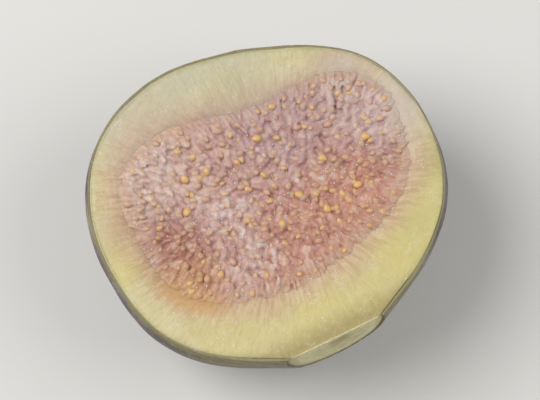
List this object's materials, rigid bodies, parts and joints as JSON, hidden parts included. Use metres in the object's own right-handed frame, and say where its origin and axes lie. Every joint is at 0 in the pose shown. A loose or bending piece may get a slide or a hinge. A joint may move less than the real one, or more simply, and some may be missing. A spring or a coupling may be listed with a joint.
{
  "type": "fig half",
  "caption": "Half of a purple fig cut lengthwise, lying skin down with its pulp, drupelets, seeds and pale rind showing.",
  "frame": {"origin": "on the surface that the half lies on, below the middle of its box", "axes": "+Z out of the cut face, +Y from the trimmed stem end to the eye, +X across the fruit"},
  "size_m": [0.0466, 0.0418, 0.0235],
  "materials": {
    "skin": "thin matte fruit skin, dark grey-violet with olive stripes and a pale bloom",
    "rind": "moist cream rind, greener towards the skin, lightly frosted",
    "pulp": "moist dusty pink drupelets with golden seeds, lightly frosted"
  },
  "bodies": {
    "root": {"skin": "skin", "rind": "rind", "pulp": "pulp"}
  },
  "joints": []
}
